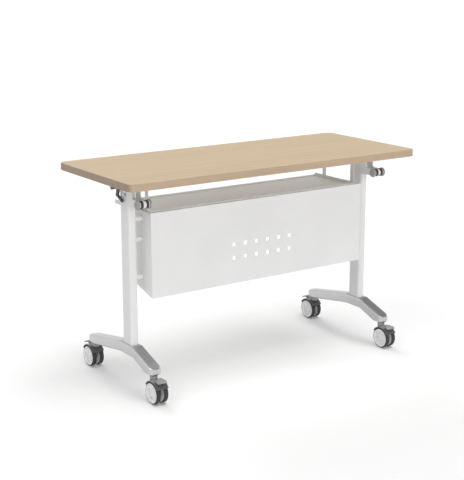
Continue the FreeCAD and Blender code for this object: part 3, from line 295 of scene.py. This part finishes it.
def satin_casting(name, colour):
    """Silver-lacquered die casting: soft metal sheen with a grainy skin."""
    tree = Finish(name)
    broad = tree.noise(tree.place, scale=9.0, detail=5.0)
    grain = tree.noise(tree.place, scale=1300.0, detail=3.0)
    skin = tree.tones(broad, colour, (0.3, 0.95), (0.7, 1.03))
    skin = tree.tinted(skin, SILVER_GRAIN_TINT, share=0.5, factor=grain, low=0.35, high=0.65)
    tree.colour(tree.worn_edges(skin, shade(colour, WORN_SHARE), radius=0.0015))
    tree.metal()
    tree.roughness(grain, low=0.24, high=0.36)
    tree.relief(grain, strength=0.12, distance=0.0002, edge_radius=0.0008)
    return tree.material


def moulded_plastic(name, colour, roughness, upper_colour=None):
    """Spark-eroded mould texture with faint flow marks.
    On the casters an upper colour takes over just above the wheels."""
    tree = Finish(name)
    flow = tree.noise(
        tree.stretched((30.0, 30.0, 80.0)), scale=2.0, detail=4.0, roughness=0.6, distortion=1.2
    )
    pits = tree.cells(scale=1500.0)
    skin = tree.tones(flow, colour, (0.25, 0.86), (0.75, 1.10))
    worn = shade(colour, WORN_SHARE)
    if upper_colour:
        upper_skin = tree.tones(flow, upper_colour, (0.25, 0.90), (0.75, 1.06))
        height = tree.rising(tree.place, "Z", low=HOOD_DARK_BELOW, high=HOOD_LIGHT_ABOVE)
        skin = tree.mixed(height, skin, upper_skin)
        worn = shade(upper_colour, WORN_HOOD_SHARE)
    low, high = roughness
    tree.colour(tree.worn_edges(skin, worn, radius=0.0008))
    tree.roughness(pits, low, high)
    tree.relief(pits, strength=0.10, distance=0.0002, edge_radius=0.0006)
    return tree.material


def tread(name, colour):
    """Soft tread with a dusty rub from the floor."""
    tree = Finish(name)
    dust = tree.noise(tree.place, scale=85.0, detail=5.0, roughness=0.65)
    grain = tree.noise(tree.place, scale=1700.0, detail=2.0)
    tree.colour(tree.tones(dust, colour, (0.35, 0.85), (0.58, 1.0), (0.80, 1.7)))
    tree.roughness(dust, low=0.50, high=0.72)
    tree.relief(grain, strength=0.15, distance=0.0002, edge_radius=0.0006)
    return tree.material


def zinc_plate(name, colour):
    """Bright zinc with a cloudy passivated bloom."""
    tree = Finish(name)
    bloom = tree.noise(tree.place, scale=260.0, detail=5.0, roughness=0.6, distortion=0.8)
    tree.colour(tree.tones(bloom, colour, (0.3, 0.88), (0.7, 1.06)))
    tree.metal()
    tree.roughness(bloom, low=0.26, high=0.42)
    tree.relief(bloom, strength=0.06, distance=0.0001, edge_radius=0.0004)
    return tree.material


finishes = {
    "wood_top": oak_laminate("oak_laminate", OAK),
    "edge_band": oak_laminate("oak_edge", OAK_EDGE),
    "white_paint": powder_coat("white_powder_coat", WHITE),
    "silver_casting": satin_casting("silver_casting", SILVER),
    "black_nylon": moulded_plastic("black_nylon", BLACK_NYLON, NYLON_ROUGHNESS),
    "grey_nylon": moulded_plastic("grey_nylon", HOOD_DARK, HOOD_ROUGHNESS, HOOD_LIGHT),
    "hub_plastic": moulded_plastic("hub_plastic", HUB, HUB_ROUGHNESS),
    "tyre": tread("tyre_tread", TYRE),
    "steel": zinc_plate("zinc_plate", ZINC),
    "rubber": tread("rubber_pad", RUBBER),
}
cap_finish = moulded_plastic("cap_nylon", CAP_NYLON, NYLON_ROUGHNESS)
for node, piece in cad_nodes.items():
    for material_slot in piece.material_slots:
        material_slot.material = cap_finish if node == "hinge_caps" else finishes[slot_of[node]]


# Meshes

MERGE_DISTANCE = 0.000001
ROUNDING_SEGMENTS = 2
SMOOTH_ANGLE = math.radians(35)


def add_piece(name, mesh, body, slot, rounding=0.0):
    """A piece of its own, with the finish of a slot, that moves with a body."""
    piece = bpy.data.objects.new(name, bpy.data.meshes.new(name))
    mesh.to_mesh(piece.data)
    mesh.free()
    bpy.context.scene.collection.objects.link(piece)
    piece.data.materials.append(finishes[slot])
    if rounding:
        bevel = piece.modifiers.new("rounding", "BEVEL")
        bevel.width = rounding
        bevel.segments = ROUNDING_SEGMENTS
    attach(piece, body)
    return piece


def add_solid(mesh, rings):
    """A closed skin through rings of as many points each, with flat ends."""
    grown = [[mesh.verts.new(point) for point in ring] for ring in rings]
    count = len(grown[0])
    for lower, upper in zip(grown, grown[1:]):
        for index in range(count):
            following = (index + 1) % count
            mesh.faces.new((lower[index], lower[following], upper[following], upper[index]))
    mesh.faces.new(list(reversed(grown[0])))
    mesh.faces.new(grown[-1])


def add_loop(mesh, sections, closed):
    """A skin through sections that follow one another round a loop. Each is an open or closed line."""
    grown = [[mesh.verts.new(point) for point in section] for section in sections]
    count = len(grown[0])
    for section, following in zip(grown, grown[1:] + grown[:1]):
        for index in range(count if closed else count - 1):
            after = (index + 1) % count
            mesh.faces.new((section[index], section[after], following[after], following[index]))


def turn_outwards(mesh):
    bmesh.ops.recalc_face_normals(mesh, faces=mesh.faces)


def make_smooth(mesh):
    for face in mesh.faces:
        face.smooth = True


def copy_of(node):
    """The mesh of a node, with its faces joined where they meet."""
    mesh = bmesh.new()
    mesh.from_mesh(cad_nodes[node].data)
    bmesh.ops.remove_doubles(mesh, verts=mesh.verts, dist=MERGE_DISTANCE)
    return mesh


def solids_of(node):
    """The lowest and highest corners of each separate solid of a node."""
    mesh = copy_of(node)
    seen = set()
    boxes = []
    for start in mesh.verts:
        if start in seen:
            continue
        seen.add(start)
        reached = [start]
        for vertex in reached:
            for edge in vertex.link_edges:
                other = edge.other_vert(vertex)
                if other not in seen:
                    seen.add(other)
                    reached.append(other)
        low = Vector(min(vertex.co[axis] for vertex in reached) for axis in range(3))
        high = Vector(max(vertex.co[axis] for vertex in reached) for axis in range(3))
        boxes.append((low, high))
    mesh.free()
    return boxes


def cut_out(piece, space):
    """Takes the space inside a mesh out of a piece."""
    cutter = bpy.data.objects.new("cutter", bpy.data.meshes.new("cutter"))
    space.to_mesh(cutter.data)
    space.free()
    bpy.context.scene.collection.objects.link(cutter)
    difference = piece.modifiers.new("cut", "BOOLEAN")
    difference.operation = "DIFFERENCE"
    difference.object = cutter
    depsgraph = bpy.context.evaluated_depsgraph_get()
    shaped = bpy.data.meshes.new_from_object(piece.evaluated_get(depsgraph))
    piece.modifiers.clear()
    piece.data = shaped
    bpy.data.objects.remove(cutter)


# Rings and buttons on the hinge caps

TURN_STEPS = 48
# Radius and height of a trim's corners, from the middle of its button to its ring and back underneath
CAP_PROFILE = (
    (0.0, 0.0012), (0.0030, 0.0011), (0.0055, 0.0006), (0.0065, 0.0001), (0.0095, 0.0001), (0.0102, 0.0008),
    (0.0118, 0.0008), (0.0125, 0.0001), (0.0125, -0.0006), (0.0, -0.0006),
)


def cap_trims():
    """A raised ring and a low button on the outer face of each hinge cap."""
    column_low, column_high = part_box("column_right")
    column_x = (column_low.x + column_high.x) / 2
    mesh = bmesh.new()
    for low, high in solids_of("hinge_caps"):
        centre = (low + high) / 2
        leg = math.copysign(column_x, centre.x)
        outward = math.copysign(1.0, centre.x - leg)
        face = high.x if outward > 0 else low.x
        sections = []
        for step in range(TURN_STEPS):
            angle = math.tau * step / TURN_STEPS
            sections.append([
                (
                    face + outward * rise,
                    centre.y + radius * math.cos(angle),
                    centre.z + radius * math.sin(angle),
                )
                for radius, rise in CAP_PROFILE
            ])
        add_loop(mesh, sections, closed=False)
    bmesh.ops.remove_doubles(mesh, verts=mesh.verts, dist=MERGE_DISTANCE)
    bmesh.ops.dissolve_degenerate(mesh, edges=mesh.edges, dist=MERGE_DISTANCE)
    turn_outwards(mesh)
    make_smooth(mesh)
    trims = add_piece("hinge_cap_trims", mesh, "frame", "black_nylon")
    trims.data.materials[0] = cap_finish


# Weld beads on the crossbeam

WELD_STEPS = 132
WELD_RIPPLES = 44
WELD_LEG = 0.0030
WELD_SWELL = 0.0006
WELD_ROOT = 0.0006
WELD_BULGE_REACH = 0.7
WELD_BULGE_RISE = 0.6
WELD_CORNER = 0.003


def around_rectangle(share, half_width, half_height):
    """A point and its outward direction at a share of the way round a rectangle."""
    sides = (
        (Vector((half_width, -half_height)), Vector((0, 1)), 2 * half_height),
        (Vector((half_width, half_height)), Vector((-1, 0)), 2 * half_width),
        (Vector((-half_width, half_height)), Vector((0, -1)), 2 * half_height),
        (Vector((-half_width, -half_height)), Vector((1, 0)), 2 * half_width),
    )
    remaining = share * sum(length for start, heading, length in sides)
    for start, heading, length in sides:
        if remaining <= length:
            break
        remaining -= length
    outward = Vector((heading.y, -heading.x))
    lean = max(0.0, 1.0 - (length - remaining) / WELD_CORNER) - max(0.0, 1.0 - remaining / WELD_CORNER)
    return start + remaining * heading, (outward + lean * heading).normalized()


def beam_welds():
    """A rippled fillet weld where the beam's tube meets each of its end plates."""
    low, high = max(solids_of("crossbeam"), key=lambda box: box[0].z)
    centre = (low + high) / 2
    mesh = bmesh.new()
    for face, inward in ((low.x, 1), (high.x, -1)):
        sections = []
        for step in range(WELD_STEPS):
            share = step / WELD_STEPS
            point, outward = around_rectangle(share, (high.y - low.y) / 2, (high.z - low.z) / 2)
            leg = WELD_LEG + WELD_SWELL * abs(math.sin(math.pi * WELD_RIPPLES * share))
            corners = (
                (-WELD_ROOT, -WELD_ROOT),
                (leg, -WELD_ROOT),
                (WELD_BULGE_REACH * leg, WELD_BULGE_RISE * leg),
                (-WELD_ROOT, leg),
            )
            sections.append([
                (
                    face + inward * rise,
                    centre.y + point.x + outward.x * reach,
                    centre.z + point.y + outward.y * reach,
                )
                for reach, rise in corners
            ])
        add_loop(mesh, sections, closed=True)
    turn_outwards(mesh)
    make_smooth(mesh)
    add_piece("beam_welds", mesh, "frame", "white_paint")


# Driver sockets in the heads of screws and bolts

CROSS_ARM = 0.0023
CROSS_HALF = 0.0006
CROSS_DEPTH = 0.0018
CROSS_FLOOR_SHARE = 0.45
HEXAGON_SIDES = 6
HEXAGON_RADIUS = 0.0034
PANEL_BOLT_DEPTH = 0.0035
FOOT_BOLT_DEPTH = 0.0045
CUT_OVERRUN = 0.0005


def cross_outline():
    """The corners of one arm of a cross, turned by a quarter for each of the others."""
    corners = [(CROSS_ARM, -CROSS_HALF), (CROSS_ARM, CROSS_HALF), (CROSS_HALF, CROSS_HALF)]
    outline = []
    for quarter in range(4):
        outline += corners
        corners = [(-y, x) for x, y in corners]
    return outline


def hexagon_outline():
    angles = [math.tau * corner / HEXAGON_SIDES for corner in range(HEXAGON_SIDES)]
    return [(HEXAGON_RADIUS * math.cos(angle), HEXAGON_RADIUS * math.sin(angle)) for angle in angles]


def add_socket(mesh, place, inward, outline, depth, floor_share):
    """The space of a driver's socket that goes inward from a place on a screw head."""
    across = inward.orthogonal().normalized()
    upward = inward.cross(across)
    rings = []
    for level, share in ((-CUT_OVERRUN, 1.0), (depth, floor_share)):
        rings.append([place + level * inward + share * (x * across + y * upward) for x, y in outline])
    add_solid(mesh, rings)


def recess_heads(node, body, axis, outline, depth, floor_share=1.0):
    """Stands for a node of screws or bolts: the same solids with driver sockets in their heads.
    The heads are the ends nearer to the frame's origin along the axis."""
    sockets = bmesh.new()
    for low, high in solids_of(node):
        centre = (low + high) / 2
        inward = math.copysign(1.0, centre.dot(axis)) * axis
        half_length = abs((high - low).dot(inward)) / 2
        add_socket(sockets, centre - half_length * inward, inward, outline, depth, floor_share)
    turn_outwards(sockets)
    piece = add_piece(f"{node}_with_sockets", copy_of(node), body, slot_of[node])
    cut_out(piece, sockets)
    piece.data.shade_smooth()
    piece.data.set_sharp_from_angle(angle=SMOOTH_ANGLE)
    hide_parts(node)


# Ribs on the casters

HUB_RIBS = 6
HUB_RIB_INNER_RADIUS = 0.0086
HUB_RIB_OUTER_RADIUS = 0.0303
HUB_RIB_ROOT_HALF = 0.0016
HUB_RIB_TOP_HALF = 0.0011
HUB_RIB_ROOT_DEPTH = 0.0038
HUB_RIB_TOP_DEPTH = 0.0009
HUB_RIB_ROUNDING = 0.0004
PEDAL_RIBS = 3
PEDAL_RIB_STEP = 0.003
PEDAL_RIB_ROOT_HALF = 0.0014
PEDAL_RIB_TOP_HALF = 0.0007
PEDAL_RIB_RISE = 0.0008
PEDAL_RIB_MARGIN = 0.003
PEDAL_RIB_ROUNDING = 0.0002
PEDAL_THICKNESS = 0.004
PEDAL_TREAD_DROP = 0.004
PEDAL_TREAD_LENGTH = 0.0124


def hub_ribs(caster, body):
    """Stiffening ribs in the dished outer face of both wheels of a caster."""
    low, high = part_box(f"{caster}_hubs")
    centre = (low + high) / 2
    levels = ((HUB_RIB_ROOT_DEPTH, HUB_RIB_ROOT_HALF), (HUB_RIB_TOP_DEPTH, HUB_RIB_TOP_HALF))
    mesh = bmesh.new()
    for face, inward in ((low.x, 1), (high.x, -1)):
        for index in range(HUB_RIBS):
            angle = math.tau * index / HUB_RIBS
            along = Vector((0, math.cos(angle), math.sin(angle)))
            across = Vector((0, -math.sin(angle), math.cos(angle)))
            rings = []
            for depth, half in levels:
                middle = Vector((face + inward * depth, centre.y, centre.z))
                inner = middle + along * HUB_RIB_INNER_RADIUS
                outer = middle + along * HUB_RIB_OUTER_RADIUS
                side = across * half
                rings.append([inner - side, outer - side, outer + side, inner + side])
            add_solid(mesh, rings)
    turn_outwards(mesh)
    add_piece(f"{caster}_hub_ribs", mesh, body, "hub_plastic", HUB_RIB_ROUNDING)


def pedal_ribs(caster, body, outward):
    """Grip ribs across the tread of a brake pedal, from its tip inwards."""
    low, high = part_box(f"{caster}_brake_pedal")
    left = low.x + PEDAL_RIB_MARGIN
    right = high.x - PEDAL_RIB_MARGIN
    tip = high.y if outward > 0 else low.y
    tip_top = low.z + PEDAL_THICKNESS
    slope = PEDAL_TREAD_DROP / PEDAL_TREAD_LENGTH
    levels = ((-PEDAL_RIB_RISE, PEDAL_RIB_ROOT_HALF), (PEDAL_RIB_RISE, PEDAL_RIB_TOP_HALF))
    mesh = bmesh.new()
    for index in range(PEDAL_RIBS):
        middle = (index + 1) * PEDAL_RIB_STEP
        rings = []
        for rise, half in levels:
            near = middle - half
            far = middle + half
            rings.append([
                (x, tip - outward * inset, tip_top + slope * inset + rise)
                for x, inset in ((left, near), (right, near), (right, far), (left, far))
            ])
        add_solid(mesh, rings)
    turn_outwards(mesh)
    add_piece(f"{caster}_pedal_ribs", mesh, body, "grey_nylon", PEDAL_RIB_ROUNDING)


cap_trims()
beam_welds()
recess_heads("bracket_screws", "top", UP, cross_outline(), CROSS_DEPTH, CROSS_FLOOR_SHARE)
recess_heads("hanger_screws", "top", UP, cross_outline(), CROSS_DEPTH, CROSS_FLOOR_SHARE)
recess_heads("panel_bolts", "frame", SIDEWAYS, hexagon_outline(), PANEL_BOLT_DEPTH)
recess_heads("foot_bolts", "frame", UP, hexagon_outline(), FOOT_BOLT_DEPTH)
for side in SIDES:
    for end, outward in OUTWARD_OF_END.items():
        hub_ribs(f"caster_{end}_{side}", f"wheels_{end}_{side}")
        pedal_ribs(f"caster_{end}_{side}", f"pedal_{end}_{side}", outward)


# Floor, light and camera

FLOOR_HALF = 60.0
FLOOR_SEGMENTS = 2
FLOOR_DROP = 0.0002
FLOOR_GREY = 0.95
FLOOR_GLOW = 0.05
FLOOR_BOUNCE = 0.72
WHITE_LIGHT = (1.0, 1.0, 1.0, 1.0)
# A sky's strength goes from start to end as its likeness to a direction goes from low to high
LIGHT_SKY = {"direction": (0.0, 0.0, 1.0), "low": 0.20, "high": 0.80, "start": 0.15, "end": 0.42}
MIRRORED_SKY = {"direction": (0.35, 0.0, 0.94), "low": 0.38, "high": 0.75, "start": 1.0, "end": 0.32}
CAMERA_PLACE = (-2.31526, -3.30576, 1.44329)
CAMERA_TILT = math.radians(76.04)
CAMERA_TURN = math.radians(-34.47)
SENSOR_WIDTH_MM = 36.0
FOCAL_LENGTH_MM = 86.17
NEAREST_SEEN = 0.05
FARTHEST_SEEN = 300.0


def make_floor():
    """A wide matt floor, which looks whiter than the light that it throws back."""
    mesh = bmesh.new()
    bmesh.ops.create_grid(mesh, x_segments=FLOOR_SEGMENTS, y_segments=FLOOR_SEGMENTS, size=FLOOR_HALF)
    floor = bpy.data.objects.new("floor", bpy.data.meshes.new("floor"))
    mesh.to_mesh(floor.data)
    mesh.free()
    floor.location.z = -FLOOR_DROP
    bpy.context.scene.collection.objects.link(floor)
    material = bpy.data.materials.new("studio_floor")
    material.use_nodes = True
    tree = Tree(material.node_tree)
    tree.nodes.clear()
    seen = tree.seen_directly()
    grey = tree.graded(seen, start=FLOOR_BOUNCE, end=FLOOR_GREY)
    matt = tree.add("ShaderNodeBsdfDiffuse", {"Color": grey})
    glow = tree.add("ShaderNodeEmission", {"Strength": tree.graded(seen, start=0.0, end=FLOOR_GLOW)})
    both = tree.add("ShaderNodeAddShader", {0: matt.outputs["BSDF"], 1: glow.outputs["Emission"]})
    tree.add("ShaderNodeOutputMaterial", {"Surface": both.outputs["Shader"]})
    floor.data.materials.append(material)


def sky_strength(tree, direction, low, high, start, end):
    texture = tree.nodes.new("ShaderNodeTexCoord")
    likeness = tree.likeness(texture.outputs["Generated"], direction)
    return tree.graded(likeness, low, high, start, end)


def make_world():
    """A white sky that lights the table, and another that is seen behind it and mirrored in it."""
    world = bpy.data.worlds.new("studio")
    world.use_nodes = True
    tree = Tree(world.node_tree)
    light = sky_strength(tree, **LIGHT_SKY)
    mirrored = sky_strength(tree, **MIRRORED_SKY)
    strength = tree.graded(tree.seen_directly(), start=light, end=mirrored)
    tree.feed(tree.nodes["Background"], {"Color": WHITE_LIGHT, "Strength": strength})
    bpy.context.scene.world = world


def make_lamp(name, towards, strength, spread_degrees, mirrored):
    """A broad distant lamp: towards points from the table to it, and glossy faces show it if mirrored."""
    lamp = bpy.data.lights.new(name, "SUN")
    lamp.energy = strength
    lamp.angle = math.radians(spread_degrees)
    holder = bpy.data.objects.new(name, lamp)
    holder.rotation_mode = "QUATERNION"
    holder.rotation_quaternion = Vector(towards).to_track_quat("Z", "Y")
    holder.visible_glossy = mirrored
    bpy.context.scene.collection.objects.link(holder)


def make_camera():
    camera = bpy.data.objects.new("camera", bpy.data.cameras.new("camera"))
    camera.location = CAMERA_PLACE
    camera.rotation_euler = (CAMERA_TILT, 0.0, CAMERA_TURN)
    camera.data.sensor_width = SENSOR_WIDTH_MM
    camera.data.lens = FOCAL_LENGTH_MM
    camera.data.clip_start = NEAREST_SEEN
    camera.data.clip_end = FARTHEST_SEEN
    bpy.context.scene.collection.objects.link(camera)
    bpy.context.scene.camera = camera


make_floor()
make_world()
make_lamp("key", towards=(0.20, -0.15, 0.96), strength=0.98, spread_degrees=36.0, mirrored=False)
make_lamp("front", towards=(-0.10, -0.97, 0.15), strength=1.42, spread_degrees=40.0, mirrored=False)
make_lamp("left", towards=(-0.72, -0.10, 0.69), strength=0.66, spread_degrees=50.0, mirrored=True)
make_lamp("side", towards=(0.94, 0.20, 0.27), strength=0.40, spread_degrees=30.0, mirrored=True)
make_lamp("rear", towards=(0.05, 0.86, 0.50), strength=1.00, spread_degrees=40.0, mirrored=False)
make_camera()
bpy.context.scene.view_settings.view_transform = "Standard"
